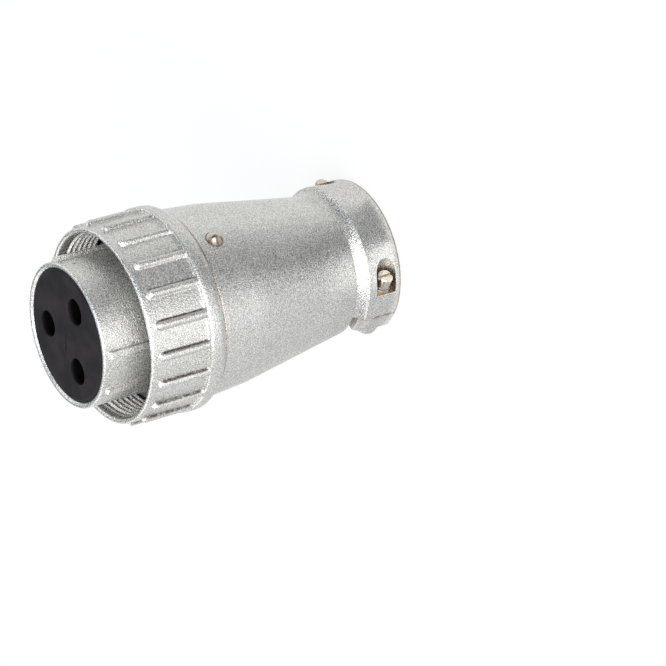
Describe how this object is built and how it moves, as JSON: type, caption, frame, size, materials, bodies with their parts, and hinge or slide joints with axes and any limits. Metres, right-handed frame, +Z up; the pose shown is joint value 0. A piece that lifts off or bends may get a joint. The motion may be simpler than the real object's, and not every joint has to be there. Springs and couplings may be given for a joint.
{
  "type": "circular power connector plug",
  "caption": "Free plug of a circular power connector: keyed barrel with socket contacts, ribbed coupling nut, tapering end bell and screw-held cable clamp.",
  "frame": {"origin": "centre of the cable clamp's end face, on the connector's axis; the plug stands on this face", "axes": "+Z up the connector's axis, from the cable end to the mating end; -Y towards the side of the end bell that carries the lock screw and the clamp screws' heads"},
  "size_m": [0.0714, 0.0714, 0.117],
  "materials": {
    "silver_paint": "silver stoved paint over a fine-grained die casting, satin with a fine sparkle",
    "black_moulding": "matt black thermoset moulding",
    "plated_brass": "silver plate on turned brass",
    "nickel_steel": "bright nickel plate",
    "spring_steel": "plain spring steel"
  },
  "bodies": {
    "plug": {"front_shell": "silver_paint", "nut_flat_washer": "spring_steel", "nut_wave_washer": "spring_steel", "nut_snap_ring": "spring_steel", "front_insulator": "black_moulding", "rear_insulator": "black_moulding", "insulator_screw": "nickel_steel", "insulator_washer": "nickel_steel", "socket_contact_1": "plated_brass", "socket_contact_2": "plated_brass", "socket_contact_3": "plated_brass", "contact_spring_1": "spring_steel", "contact_spring_2": "spring_steel", "contact_spring_3": "spring_steel", "end_bell": "silver_paint", "lock_screw": "nickel_steel", "clamp_saddle": "silver_paint", "clamp_screw_near": "nickel_steel", "clamp_screw_far": "nickel_steel", "clamp_washer_near": "nickel_steel", "clamp_washer_far": "nickel_steel", "clamp_spring_washer_near": "nickel_steel", "clamp_spring_washer_far": "nickel_steel"},
    "nut": {"coupling_nut": "silver_paint"}
  },
  "joints": [
    {"name": "nut_spin", "type": "hinge", "parent": "plug", "child": "nut", "pos_m": [0, 0, 0], "axis": [0, 0, -1], "continuous": true}
  ]
}
